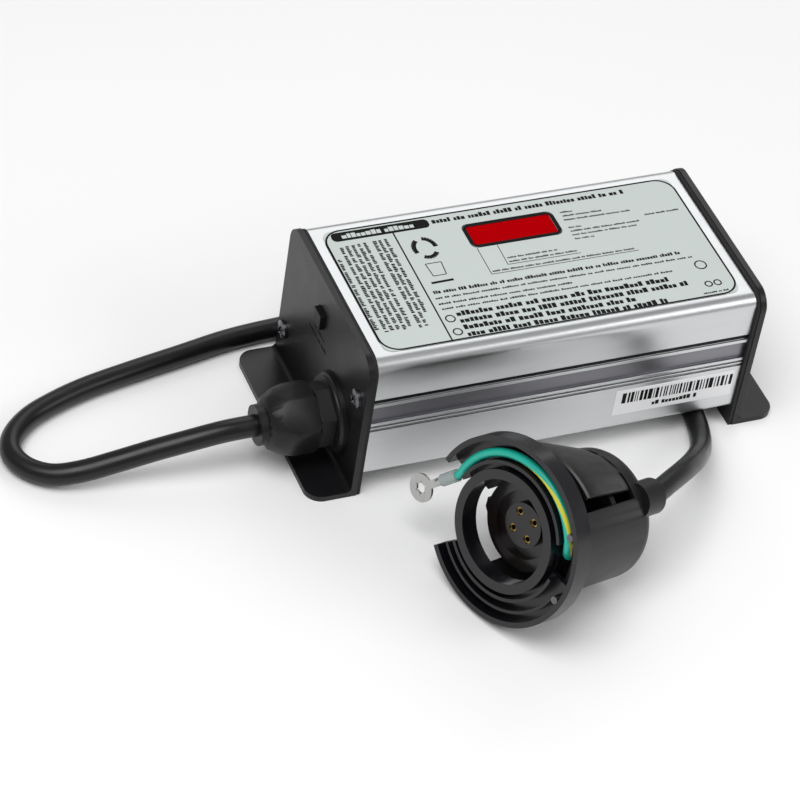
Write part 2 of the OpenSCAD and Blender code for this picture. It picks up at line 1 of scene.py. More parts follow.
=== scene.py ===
import math
import random
import bmesh
import bpy
from mathutils import Matrix, Vector


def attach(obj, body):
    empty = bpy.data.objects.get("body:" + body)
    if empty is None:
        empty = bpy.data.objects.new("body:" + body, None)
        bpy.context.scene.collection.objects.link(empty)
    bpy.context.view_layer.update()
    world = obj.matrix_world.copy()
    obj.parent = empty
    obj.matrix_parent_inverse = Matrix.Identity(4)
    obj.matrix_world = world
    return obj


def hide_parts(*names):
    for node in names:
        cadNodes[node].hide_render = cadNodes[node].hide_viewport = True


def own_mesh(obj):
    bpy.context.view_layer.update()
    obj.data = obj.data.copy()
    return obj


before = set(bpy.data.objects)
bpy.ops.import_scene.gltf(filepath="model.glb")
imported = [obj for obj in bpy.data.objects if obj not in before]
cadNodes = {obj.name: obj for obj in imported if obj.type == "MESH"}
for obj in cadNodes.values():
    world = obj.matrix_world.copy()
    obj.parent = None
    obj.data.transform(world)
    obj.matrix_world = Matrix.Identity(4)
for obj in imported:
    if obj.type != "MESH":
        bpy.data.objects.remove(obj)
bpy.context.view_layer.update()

mm = 0.001
print("frame loaded:", len(cadNodes), "nodes")

# ---- camera ----

cameraSetup = {
    "place": (-0.547256, -0.930352, 0.976359),
    "right": (0.92289, -0.36392, 0.12583),
    "up": (0.16506, 0.66913, 0.72458),
    "lensMm": 158.74,
    "sensorMm": 36.0,
}


def placeCamera(setup):
    data = bpy.data.cameras.new("productCamera")
    data.lens = setup["lensMm"]
    data.sensor_width = setup["sensorMm"]
    data.clip_start = 0.05
    camera = bpy.data.objects.new("productCamera", data)
    bpy.context.scene.collection.objects.link(camera)
    right = Vector(setup["right"]).normalized()
    back = right.cross(Vector(setup["up"])).normalized()
    turn = Matrix((right, back.cross(right), back)).transposed()
    camera.matrix_world = Matrix.Translation(setup["place"]) @ turn.to_4x4()
    bpy.context.scene.camera = camera


placeCamera(cameraSetup)

# ---- lamp cord ----

lampCord = {
    "diameter": 0.009,
    "length": 0.559,
    "exit": (-0.119, -0.0175, 0.022),
    "stepsBetween": 6,
    "intoGland": (-0.106, -0.0175, 0.022),
    "intoConnector": (-0.00145, -0.11305, 0.0433),
    "route": [
        (-0.119, -0.0175, 0.022), (-0.132, -0.0173, 0.0215), (-0.146, -0.0165, 0.019),
        (-0.16, -0.015, 0.0155), (-0.174, -0.0135, 0.0115), (-0.188, -0.012, 0.008),
        (-0.199, -0.0085, 0.0055), (-0.207, -0.001, 0.0045), (-0.21, 0.008, 0.0045),
        (-0.2065, 0.017, 0.0045), (-0.198, 0.025, 0.0045), (-0.186, 0.031, 0.0045),
        (-0.17, 0.0365, 0.0045), (-0.15, 0.041, 0.0045), (-0.127, 0.0455, 0.0045),
        (-0.104, 0.05, 0.0045), (-0.08, 0.052, 0.0045), (-0.052, 0.053, 0.0045),
        (-0.024, 0.053, 0.0045), (0.002, 0.0515, 0.0045), (0.024, 0.047, 0.0045),
        (0.042, 0.0385, 0.0045), (0.055, 0.027, 0.0045), (0.064, 0.011, 0.0045),
        (0.069, -0.008, 0.0045), (0.069, -0.025, 0.0045), (0.067, -0.041, 0.005),
        (0.062, -0.055, 0.009), (0.054, -0.069, 0.0165), (0.044, -0.0815, 0.025),
        (0.033, -0.092, 0.032), (0.022, -0.1005, 0.0365), (0.00944, -0.10908, 0.04019),
    ],
}


def smoothPath(points, before, after, steps):
    # passes through every point; before and after set the directions at the two ends
    chain = [Vector(before)] + [Vector(p) for p in points] + [Vector(after)]
    path = []
    for i in range(1, len(chain) - 2):
        p0, p1, p2, p3 = chain[i - 1:i + 3]
        for k in range(steps):
            t = k / steps
            path.append(0.5 * (2 * p1 + (p2 - p0) * t + (2 * p0 - 5 * p1 + 4 * p2 - p3) * t ** 2
                               + (3 * p1 - p0 - 3 * p2 + p3) * t ** 3))
    path.append(chain[-2])
    return path


def tubeCurve(name, path, radius, sides):
    data = bpy.data.curves.new(name, "CURVE")
    data.dimensions = "3D"
    data.bevel_depth = radius
    data.bevel_resolution = sides
    data.use_fill_caps = True
    spline = data.splines.new("POLY")
    spline.points.add(len(path) - 1)
    for point, place in zip(spline.points, path):
        point.co = (*place, 1)
    spline.use_smooth = True
    piece = bpy.data.objects.new(name, data)
    bpy.context.scene.collection.objects.link(piece)
    return piece


def pathLength(path):
    return sum((b - a).length for a, b in zip(path, path[1:]))


cordPath = smoothPath(lampCord["route"], lampCord["intoGland"], lampCord["intoConnector"],
                      lampCord["stepsBetween"])
cordPiece = tubeCurve("lampCordJacket", cordPath, lampCord["diameter"] / 2, 6)
print("cord laid:", round(pathLength(cordPath), 4), "m")

# ---- materials ----


def hexColor(code):
    channels = [int(code[i:i + 2], 16) / 255 for i in (1, 3, 5)]
    return tuple(c / 12.92 if c <= 0.04045 else ((c + 0.055) / 1.055) ** 2.4 for c in channels) + (1,)


def addNode(tree, kind, settings=None, inputs=None):
    node = tree.nodes.new(kind)
    for key, value in (settings or {}).items():
        setattr(node, key, value)
    for key, value in (inputs or {}).items():
        if isinstance(value, bpy.types.NodeSocket):
            tree.links.new(value, node.inputs[key])
        else:
            node.inputs[key].default_value = value
    return node


# nearly all of a noise pattern's values lie between these two
noiseSpan = (0.3, 0.7)


def grainedFinish(name, look):
    # two near shades drift over the surface, with a fine relief at the grain's own size
    material = bpy.data.materials.new(name)
    material.use_nodes = True
    tree = material.node_tree
    tree.nodes.clear()
    place = addNode(tree, "ShaderNodeTexCoord").outputs["Object"]
    stretched = addNode(tree, "ShaderNodeMapping",
                        inputs={"Vector": place, "Scale": look.get("stretch", (1, 1, 1))}).outputs[0]
    drift = addNode(tree, "ShaderNodeTexNoise", inputs={
        "Vector": stretched, "Scale": 1000 / look["driftMm"], "Detail": 4.0, "Roughness": 0.6})
    grain = addNode(tree, "ShaderNodeTexNoise", inputs={
        "Vector": stretched, "Scale": 1000 / look["grainMm"], "Detail": 3.0, "Roughness": 0.6})
    colors = addNode(tree, "ShaderNodeMix", {"data_type": "RGBA"}, {
        0: drift.outputs["Fac"], 6: hexColor(look["shade"]), 7: hexColor(look["tint"])})
    # painted shade: each band of heights gets a darker colour, standing for the shade and dark reflection in
    # recessed channels
    for low, high, code in look.get("paintedShadeBands", []):
        height = addNode(tree, "ShaderNodeSeparateXYZ", inputs={0: place}).outputs["Z"]
        inPaintedShade = addNode(tree, "ShaderNodeMath", {"operation": "COMPARE"}, {
            0: height, 1: (low + high) / 2 * mm, 2: (high - low) / 2 * mm})
        colors = addNode(tree, "ShaderNodeMix", {"data_type": "RGBA"}, {
            0: inPaintedShade.outputs[0], 6: colors.outputs[2], 7: hexColor(code)})
    roughness = addNode(tree, "ShaderNodeMapRange", inputs={
        "Value": drift.outputs["Fac"], "From Min": noiseSpan[0], "From Max": noiseSpan[1],
        "To Min": look["smoothest"], "To Max": look["roughest"]})
    relief = addNode(tree, "ShaderNodeBump", inputs={
        "Strength": look.get("relief", 0.3), "Distance": look["reliefMm"] * mm,
        "Height": grain.outputs["Fac"]})
    shaderInputs = {"Base Color": colors.outputs[2], "Roughness": roughness.outputs[0],
                    "Metallic": look.get("metallic", 0.0), "Normal": relief.outputs[0]}
    shaderInputs.update(look.get("shader", {}))
    shader = addNode(tree, "ShaderNodeBsdfPrincipled", inputs=shaderInputs)
    addNode(tree, "ShaderNodeOutputMaterial", inputs={"Surface": shader.outputs[0]})
    return material


finishes = {
    # extruded and satin anodised: fine die lines run along the length; the milled
    # channels in the sides get painted shade, a darker grey band and near-black groove lines
    "anodisedAluminium": {"shade": "#c8cacb", "tint": "#dadcdd",
                          "paintedShadeBands": [(37.0, 45.3, "#85858a"), (47.1, 49.5, "#242427"),
                                    (32.7, 33.7, "#242427"), (34.7, 35.5, "#242427")],
                          "driftMm": 9, "grainMm": 0.7, "stretch": (0.02, 1, 1),
                          "smoothest": 0.3, "roughest": 0.4,
                          "reliefMm": 0.02, "relief": 0.25, "metallic": 1.0},
    # powder coat on folded steel sheet: satin black with a slight orange peel
    "blackPowderCoat": {"shade": "#0d0c0e", "tint": "#151316", "driftMm": 25, "grainMm": 0.6,
                        "smoothest": 0.32, "roughest": 0.42, "reliefMm": 0.03, "relief": 0.35,
                        "shader": {"Specular IOR Level": 0.4}},
    # closed-cell rubber, matt
    "gasketRubber": {"shade": "#0e0e0e", "tint": "#171717", "driftMm": 6, "grainMm": 0.4,
                     "smoothest": 0.7, "roughest": 0.85, "reliefMm": 0.05},
    # black oxide screw steel with polish on the head
    "blackOxideSteel": {"shade": "#58585b", "tint": "#7b7c80", "driftMm": 3, "grainMm": 0.3,
                        "smoothest": 0.2, "roughest": 0.32, "reliefMm": 0.01, "metallic": 1.0},
    # printed polyester film, satin and slightly green
    "labelFilm": {"shade": "#bcc4c1", "tint": "#c4ccc9", "driftMm": 30, "grainMm": 0.5,
                  "smoothest": 0.4, "roughest": 0.48, "reliefMm": 0.01,
                  "shader": {"Specular IOR Level": 0.35}},
    # coated paper
    "stickerPaper": {"shade": "#ececee", "tint": "#f6f6f7", "driftMm": 12, "grainMm": 0.4,
                     "smoothest": 0.45, "roughest": 0.55, "reliefMm": 0.01},
    # screen-printed ink, flatter than the film it lies on
    "blackInk": {"shade": "#060606", "tint": "#0c0c0d", "driftMm": 4, "grainMm": 0.3,
                 "smoothest": 0.6, "roughest": 0.7, "reliefMm": 0.005,
                 "shader": {"Specular IOR Level": 0.15}},
    # tinted acrylic, smooth, its colour deep
    "redAcrylic": {"shade": "#a00006", "tint": "#b20008", "driftMm": 14, "grainMm": 2,
                   "smoothest": 0.3, "roughest": 0.38, "reliefMm": 0.005,
                   "shader": {"Specular IOR Level": 0.0}},
    # moulded nylon with a light spark-eroded texture
    "glandNylon": {"shade": "#0a0a0b", "tint": "#111113", "driftMm": 8, "grainMm": 0.35,
                   "smoothest": 0.34, "roughest": 0.46, "reliefMm": 0.04,
                   "shader": {"Specular IOR Level": 0.35}},
    # soft PVC jacket, satin, rubbed smoother in patches
    "cordPvc": {"shade": "#0a0a0b", "tint": "#121214", "driftMm": 14, "grainMm": 0.8,
                "smoothest": 0.28, "roughest": 0.4, "reliefMm": 0.04,
                "shader": {"Specular IOR Level": 0.4}},
    # glossy moulded plastic of the connector's front
    "connectorPlastic": {"shade": "#0b0a0e", "tint": "#131217", "driftMm": 10, "grainMm": 0.9,
                         "smoothest": 0.18, "roughest": 0.27, "reliefMm": 0.02},
    # the cap is moulded with a finer matt skin and looks warmer
    "capPlastic": {"shade": "#121111", "tint": "#1b1918", "driftMm": 16, "grainMm": 0.3,
                   "smoothest": 0.34, "roughest": 0.44, "reliefMm": 0.03,
                   "shader": {"Specular IOR Level": 0.4}},
    # phenolic socket body, near black and shiny
    "socketResin": {"shade": "#100c0c", "tint": "#1a1413", "driftMm": 6, "grainMm": 0.6,
                    "smoothest": 0.15, "roughest": 0.25, "reliefMm": 0.02},
    # plated brass contact
    "contactBrass": {"shade": "#b08d3f", "tint": "#cdae62", "driftMm": 4, "grainMm": 0.3,
                     "smoothest": 0.22, "roughest": 0.35, "reliefMm": 0.01, "metallic": 1.0},
    # tin-plated copper: pale, soft-edged reflections
    "tinPlate": {"shade": "#a4a4a3", "tint": "#c4c4c2", "driftMm": 3, "grainMm": 0.25,
                 "smoothest": 0.25, "roughest": 0.38, "reliefMm": 0.01, "metallic": 1.0},
    # spring and clip steel
    "bareSteel": {"shade": "#8e9092", "tint": "#b4b6b8", "driftMm": 4, "grainMm": 0.3,
                  "smoothest": 0.25, "roughest": 0.35, "reliefMm": 0.01, "metallic": 1.0},
    # clear shrink sleeve: milky, thin, shiny
    "clearSleeve": {"shade": "#c8d2d2", "tint": "#e2eaea", "driftMm": 4, "grainMm": 0.5,
                    "smoothest": 0.2, "roughest": 0.3, "reliefMm": 0.02,
                    "shader": {"Transmission Weight": 0.6, "IOR": 1.45}},
    # fibreglass board under green solder mask
    "circuitBoard": {"shade": "#0f4a26", "tint": "#176235", "driftMm": 5, "grainMm": 0.5,
                     "smoothest": 0.3, "roughest": 0.4, "reliefMm": 0.02},
    # dark moulding compound of chips, transistors and switches
    "mouldedEpoxy": {"shade": "#171719", "tint": "#232326", "driftMm": 5, "grainMm": 0.3,
                     "smoothest": 0.5, "roughest": 0.65, "reliefMm": 0.03},
    # natural nylon standoff
    "naturalNylon": {"shade": "#d9d5c4", "tint": "#e8e4d6", "driftMm": 4, "grainMm": 0.4,
                     "smoothest": 0.4, "roughest": 0.5, "reliefMm": 0.01},
    # sintered ferrite, dark grey and dull
    "ferrite": {"shade": "#2c2c30", "tint": "#3c3c41", "driftMm": 5, "grainMm": 0.3,
                "smoothest": 0.55, "roughest": 0.7, "reliefMm": 0.04},
    # yellow polyester tape round the windings
    "windingTape": {"shade": "#b98d17", "tint": "#d3a82a", "driftMm": 5, "grainMm": 1.2,
                    "smoothest": 0.3, "roughest": 0.42, "reliefMm": 0.06},
    # enamelled copper wire
    "enamelledCopper": {"shade": "#8a4a1e", "tint": "#b46a30", "driftMm": 2, "grainMm": 0.6,
                        "smoothest": 0.25, "roughest": 0.35, "reliefMm": 0.08, "metallic": 0.8},
    # shrink sleeve on the capacitor can
    "canSleeve": {"shade": "#0e1620", "tint": "#18222e", "driftMm": 8, "grainMm": 0.5,
                  "smoothest": 0.25, "roughest": 0.35, "reliefMm": 0.02},
    # dipped epoxy film capacitor
    "dippedEpoxy": {"shade": "#8c2018", "tint": "#a83026", "driftMm": 5, "grainMm": 0.8,
                    "smoothest": 0.25, "roughest": 0.4, "reliefMm": 0.04},
    # fuse glass
    "fuseGlass": {"shade": "#e4ecee", "tint": "#f4f8f8", "driftMm": 6, "grainMm": 1,
                  "smoothest": 0.03, "roughest": 0.08, "reliefMm": 0.002,
                  "shader": {"Transmission Weight": 0.95, "IOR": 1.5}},
    # green terminal block, polyamide
    "terminalGreen": {"shade": "#1f6a44", "tint": "#2a8054", "driftMm": 6, "grainMm": 0.4,
                      "smoothest": 0.4, "roughest": 0.5, "reliefMm": 0.02},
    # PVC insulation of the inner leads
    "leadPvc": {"shade": "#3b2a1c", "tint": "#4c3826", "driftMm": 6, "grainMm": 0.5,
                "smoothest": 0.3, "roughest": 0.4, "reliefMm": 0.01},
    # grey heat-conducting pad
    "thermalPad": {"shade": "#7d8d96", "tint": "#93a2aa", "driftMm": 3, "grainMm": 0.4,
                   "smoothest": 0.6, "roughest": 0.75, "reliefMm": 0.03},
    # matt white studio paper
    "studioPaper": {"shade": "#f8f8f8", "tint": "#fafafa", "driftMm": 400, "grainMm": 2,
                    "smoothest": 0.85, "roughest": 0.95, "reliefMm": 0.01, "relief": 0.05},
}
materials = {name: grainedFinish(name, look) for name, look in finishes.items()}


def stripedInsulation(name, look):
    # green PVC with a yellow stripe that winds slowly round the wire
    material = bpy.data.materials.new(name)
    material.use_nodes = True
    tree = material.node_tree
    tree.nodes.clear()
    stripe = addNode(tree, "ShaderNodeAttribute", {"attribute_name": "stripe"}).outputs["Fac"]
    edge = addNode(tree, "ShaderNodeMapRange", inputs={
        "Value": stripe, "From Min": look["stripeFrom"] - look["stripeBlur"],
        "From Max": look["stripeFrom"] + look["stripeBlur"]})
    place = addNode(tree, "ShaderNodeTexCoord").outputs["Object"]
    drift = addNode(tree, "ShaderNodeTexNoise", inputs={
        "Vector": place, "Scale": 1000 / look["driftMm"], "Detail": 3.0})
    green = addNode(tree, "ShaderNodeMix", {"data_type": "RGBA"}, {
        0: drift.outputs["Fac"], 6: hexColor(look["shade"]), 7: hexColor(look["tint"])})
    both = addNode(tree, "ShaderNodeMix", {"data_type": "RGBA"}, {
        0: edge.outputs[0], 6: green.outputs[2], 7: hexColor(look["yellow"])})
    roughness = addNode(tree, "ShaderNodeMapRange", inputs={
        "Value": drift.outputs["Fac"], "To Min": look["smoothest"], "To Max": look["roughest"]})
    shader = addNode(tree, "ShaderNodeBsdfPrincipled", inputs={
        "Base Color": both.outputs[2], "Roughness": roughness.outputs[0]})
    addNode(tree, "ShaderNodeOutputMaterial", inputs={"Surface": shader.outputs[0]})
    return material


materials["groundPvc"] = stripedInsulation("groundPvc", {
    "shade": "#14aa96", "tint": "#22bda8", "yellow": "#d8d23a", "driftMm": 5, "stripeFrom": 0.93,
    "stripeBlur": 0.02, "smoothest": 0.25, "roughest": 0.4})

finishOfNode = {
    "anodisedAluminium": ["housing"],
    "blackPowderCoat": ["left_end_plate", "right_end_plate"],
    "gasketRubber": ["left_gasket", "right_gasket", "gland_seal"],
    "blackOxideSteel": ["left_plate_screws", "right_plate_screws", "inlet_screws", "ring_screws"],
    "labelFilm": ["face_label"],
    "stickerPaper": ["serial_label"],
    "redAcrylic": ["display_window"],
    "glandNylon": ["gland_washer", "gland_body", "gland_locknut", "gland_nut", "inlet_body",
                   "reset_button"],
    "cordPvc": ["cord_ends", "lamp_cord"],
    "connectorPlastic": ["connector_ring"],
    "capPlastic": ["connector_cap", "upper_tab", "lower_tab", "socket_carrier"],
    "socketResin": ["lamp_socket"],
    "contactBrass": ["socket_contacts"],
    "tinPlate": ["ring_terminal", "inlet_pins"],
    "bareSteel": ["button_spring", "fuse_clips", "inlet_nuts"],
    "clearSleeve": ["ground_sleeve"],
    "circuitBoard": ["display_board", "main_board"],
    "mouldedEpoxy": ["display_digits", "power_transistors", "control_chip", "alarm_buzzer",
                     "reset_switch"],
    "naturalNylon": ["display_spacers"],
    "ferrite": ["transformer_core"],
    "windingTape": ["transformer_winding"],
    "enamelledCopper": ["line_choke"],
    "canSleeve": ["bulk_capacitor"],
    "dippedEpoxy": ["film_capacitors"],
    "fuseGlass": ["line_fuse"],
    "terminalGreen": ["lamp_terminals", "mains_terminals"],
    "leadPvc": ["lamp_wires", "mains_wires"],
    "thermalPad": ["transistor_pads"],
    "groundPvc": ["ground_wire"],
}
for finish, names in finishOfNode.items():
    for name in names:
        slots = cadNodes[name].data.materials
        slots.clear()
        slots.append(materials[finish])
print("materials made:", len(materials))

# ---- pieces with softened edges ----


def meshPiece(name, bm, finish):
    data = bpy.data.meshes.new(name)
    bm.to_mesh(data)
    bm.free()
    piece = bpy.data.objects.new(name, data)
    bpy.context.scene.collection.objects.link(piece)
    piece.data.materials.append(materials[finish])
    return piece


softening = {"mergeMm": 0.002, "flatDegrees": 1.0, "smoothDegrees": 22, "bevelDegrees": 38,
             "segments": 2}


def softenedCopy(name, nodeName, finish, edgeMm, body):
    # the CAD shape with its sharp corners rounded, as a mould or a press leaves them
    bm = bmesh.new()
    bm.from_mesh(cadNodes[nodeName].data)
    bmesh.ops.remove_doubles(bm, verts=bm.verts, dist=softening["mergeMm"] * mm)
    bmesh.ops.dissolve_limit(bm, angle_limit=math.radians(softening["flatDegrees"]),
                             verts=bm.verts, edges=bm.edges)
    piece = meshPiece(name, bm, finish)
    piece.data.shade_smooth()
    piece.data.set_sharp_from_angle(angle=math.radians(softening["smoothDegrees"]))
    bevel = piece.modifiers.new("softEdges", "BEVEL")
    bevel.width = edgeMm * mm
    bevel.segments = softening["segments"]
    bevel.limit_method = "ANGLE"
    bevel.angle_limit = math.radians(softening["bevelDegrees"])
    bevel.harden_normals = True
    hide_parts(nodeName)
    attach(piece, body)
    return piece


# piece, CAD node, finish, edge in millimetres, body
softened = [
    ("housingProfile", "housing", "anodisedAluminium", 0.25, "controller"),
    ("leftEndPlate", "left_end_plate", "blackPowderCoat", 0.45, "controller"),
    ("rightEndPlate", "right_end_plate", "blackPowderCoat", 0.45, "controller"),
    ("glandBaseRing", "gland_washer", "glandNylon", 0.5, "controller"),
    ("glandHexBody", "gland_body", "glandNylon", 0.35, "controller"),
    ("glandDomedNut", "gland_nut", "glandNylon", 0.5, "controller"),
    ("pushButton", "reset_button", "glandNylon", 0.5, "button"),
    ("inletHousing", "inlet_body", "glandNylon", 0.5, "controller"),
    ("leftPlateScrews", "left_plate_screws", "blackOxideSteel", 0.12, "controller"),
    ("connectorFront", "connector_ring", "connectorPlastic", 0.4, "controller"),
    ("connectorCap", "connector_cap", "capPlastic", 0.35, "controller"),
    ("upperSqueezeTab", "upper_tab", "capPlastic", 0.5, "upper_squeeze_tab"),
    ("lowerSqueezeTab", "lower_tab", "capPlastic", 0.5, "lower_squeeze_tab"),
    ("lampSocket", "lamp_socket", "socketResin", 0.3, "controller"),
    ("ringTerminal", "ring_terminal", "tinPlate", 0.08, "controller"),
]
pieces = {row[0]: softenedCopy(*row) for row in softened}
print("softened pieces:", len(pieces))

# ---- ground wire ----

connectorFrame = {"origin": (-0.0543, -0.111, 0.0383), "tilt": 15.0, "yaw": 20.0}
groundWire = {
    "radius": 1.8, "ringRadius": 30.2, "depth": -3.6, "fromAngle": 30, "toAngle": 162, "step": 11,
    "stripeTurns": 1.2, "stripePhase": 4.64, "straightEnd": 6.2, "leadIn": 4, "stepsBetween": 5,
    "start": [(26, 11, -13), (26.1, 11.5, -10.5), (26.7, 14, -7.8), (28.6, 20, -5), (29.8, 26, -3.8)],
    "terminalAt": (-34.2, -0.4), "terminalDir": (-5, -6),
}


def connectorMatrix(setup):
    t, w = math.radians(setup["tilt"]), math.radians(setup["yaw"])
    right = Vector((math.sin(w), -math.cos(w), 0))
    up = Vector((math.sin(t) * math.cos(w), math.sin(t) * math.sin(w), math.cos(t)))
    turn = Matrix((right, up, right.cross(up))).transposed().to_4x4()
    return Matrix.Translation(setup["origin"]) @ turn @ Matrix.Scale(mm, 4)


onConnector = connectorMatrix(connectorFrame)


def polar(radius, angle, depth):
    a = math.radians(angle)
    return Vector((radius * math.cos(a), radius * math.sin(a), depth))


def groundWirePath(setup):
    tip = Vector((*setup["terminalAt"], setup["depth"]))
    along = Vector((*setup["terminalDir"], 0)).normalized()
    points = [polar(*p) for p in setup["start"]]
    points += [polar(setup["ringRadius"], a, setup["depth"])
               for a in range(setup["fromAngle"], setup["toAngle"] + 1, setup["step"])]
    points += [tip - setup["straightEnd"] * along, tip]
    before = points[0] - Vector((0, 0, setup["leadIn"]))
    after = tip + setup["leadIn"] * along
    return [onConnector @ p for p in smoothPath(points, before, after, setup["stepsBetween"])]


wirePath = groundWirePath(groundWire)
wireCurve = tubeCurve("groundWireCurve", wirePath, groundWire["radius"] * mm, 5)


def meshFromCurve(curve, name, finish):
    depsgraph = bpy.context.evaluated_depsgraph_get()
    data = bpy.data.meshes.new_from_object(curve.evaluated_get(depsgraph))
    bpy.data.objects.remove(curve)
    data.name = name
    data.materials.clear()
    data.materials.append(materials[finish])
    bm = bmesh.new()
    bm.from_mesh(data)
    bmesh.ops.remove_doubles(bm, verts=bm.verts, dist=softening["mergeMm"] * mm)
    bmesh.ops.recalc_face_normals(bm, faces=bm.faces)
    bm.to_mesh(data)
    bm.free()
    data.shade_smooth()
    piece = bpy.data.objects.new(name, data)
    bpy.context.scene.collection.objects.link(piece)
    return piece


def paintStripe(piece, path, setup):
    # how far each point of the skin faces the stripe's side, which turns along the wire
    stripe = piece.data.attributes.new("stripe", "FLOAT", "POINT")
    axis = (onConnector.to_3x3() @ Vector((0, 0, 1))).normalized()
    last = len(path) - 1
    for vertex, value in zip(piece.data.vertices, stripe.data):
        near = min(range(len(path)), key=lambda i: (path[i] - vertex.co).length_squared)
        along = (path[min(near + 1, last)] - path[max(near - 1, 0)]).normalized()
        side = along.cross(axis).normalized()
        turn = 2 * math.pi * setup["stripeTurns"] * near / last + setup["stripePhase"]
        aim = side * math.cos(turn) + side.cross(along) * math.sin(turn)
        out = vertex.co - path[near]
        out = (out - along * out.dot(along)).normalized()
        value.value = 0.5 + 0.5 * out.dot(aim)


wirePiece = meshFromCurve(wireCurve, "groundWireInsulation", "groundPvc")
paintStripe(wirePiece, wirePath, groundWire)
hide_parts("ground_wire")
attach(wirePiece, "controller")
print("ground wire:", round(pathLength(wirePath), 4), "m")

cordPiece.data.materials.append(materials["cordPvc"])
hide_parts("lamp_cord")
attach(cordPiece, "controller")
cordPieces = [pieces[n] for n in ("connectorFront", "connectorCap", "upperSqueezeTab",
                                  "lowerSqueezeTab", "lampSocket", "ringTerminal",
                                  "glandHexBody", "glandDomedNut")]
cordPieces += [wirePiece] + [cadNodes[n] for n in (
    "socket_contacts", "socket_carrier", "ring_screws", "ground_sleeve", "cord_ends", "gland_seal")]

# ---- button spring ----

buttonSpring = {"wireMm": 0.35, "coilMm": 2.2, "turns": 5.5, "stepsPerTurn": 24, "from": -81.55, "to": -76.75,
                "fixedEnd": -76.4, "axisY": 5.0, "axisZ": 52.6, "pressedShare": 0.73}


def coilSpring(setup):
    steps = int(setup["turns"] * setup["stepsPerTurn"])
    path = []
    for i in range(steps + 1):
        a = 2 * math.pi * setup["turns"] * i / steps
        x = setup["from"] + (setup["to"] - setup["from"]) * i / steps
        path.append(Vector((x, setup["axisY"] + setup["coilMm"] * math.cos(a),
                            setup["axisZ"] + setup["coilMm"] * math.sin(a))) * mm)
    return meshFromCurve(tubeCurve("springCurve", path, setup["wireMm"] * mm, 2),
                         "buttonReturnSpring", "bareSteel")


springPiece = coilSpring(buttonSpring)
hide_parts("button_spring")
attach(springPiece, "controller")
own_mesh(springPiece)

# ---- printing ----


inkThickness = 0.03


def inkBar(bm, frameMatrix, start, end, width):
    # a printed bar from start to end on the plane that frameMatrix sets, in millimetres
    a, b = Vector(start), Vector(end)
    run = b - a
    turn = Matrix.Rotation(math.atan2(run.y, run.x), 4, "Z")
    size = Matrix.Diagonal((run.length, width, inkThickness, 1))
    middle = Matrix.Translation((*((a + b) / 2), inkThickness / 2))
    bmesh.ops.create_cube(bm, size=1, matrix=frameMatrix @ middle @ turn @ size)


blocks = {"inWord": (2, 8), "widths": (0.7, 1.05), "heights": (0.7, 0.7, 1.0, 0.85),
          "gap": 0.13, "wordGap": 0.5}


def inkRow(bm, frameMatrix, start, end, height, draw, letter=0.62, fill=1.0):
    # plain blocks in word-like groups: no letters; letter is a block's width against the
    # height, and fill is how tall the blocks are
    a, b = Vector(start), Vector(end)
    along = (b - a).normalized()
    across = Vector((-along.y, along.x))
    at, total = 0.0, (b - a).length
    while at < total - height * letter:
        for _ in range(draw.randint(*blocks["inWord"])):
            w = height * letter * draw.uniform(*blocks["widths"])
            if at + w > total:
                break
            tall = height * draw.choice(blocks["heights"]) * fill
            low = a + along * (at + w / 2) - across * height * 0.5
            inkBar(bm, frameMatrix, low, low + across * tall, w)
            at += w + height * blocks["gap"]
        at += height * blocks["wordGap"]


def inkLoop(bm, frameMatrix, corners, width, close=True):
    ends = corners[1:] + ([corners[0]] if close else [])
    for a, b in zip(corners, ends):
        inkBar(bm, frameMatrix, a, b, width)


def roundCorners(x0, y0, x1, y1, r, steps=6):
    loop = []
    for cx, cy, turn in ((x1 - r, y0 + r, -90), (x1 - r, y1 - r, 0),
                         (x0 + r, y1 - r, 90), (x0 + r, y0 + r, 180)):
        for k in range(steps + 1):
            a = math.radians(turn + 90 * k / steps)
            loop.append((cx + r * math.cos(a), cy + r * math.sin(a)))
    return loop


def inkPatch(bm, frameMatrix, loop):
    # a filled outline: one face, extruded to the ink's thickness
    base = [bm.verts.new(frameMatrix @ Vector((*p, 0))) for p in loop]
    face = bm.faces.new(base)
    grown = bmesh.ops.extrude_face_region(bm, geom=[face])
    lift = frameMatrix.to_3x3() @ Vector((0, 0, inkThickness))
    top = [v for v in grown["geom"] if isinstance(v, bmesh.types.BMVert)]
    bmesh.ops.translate(bm, vec=lift, verts=top)


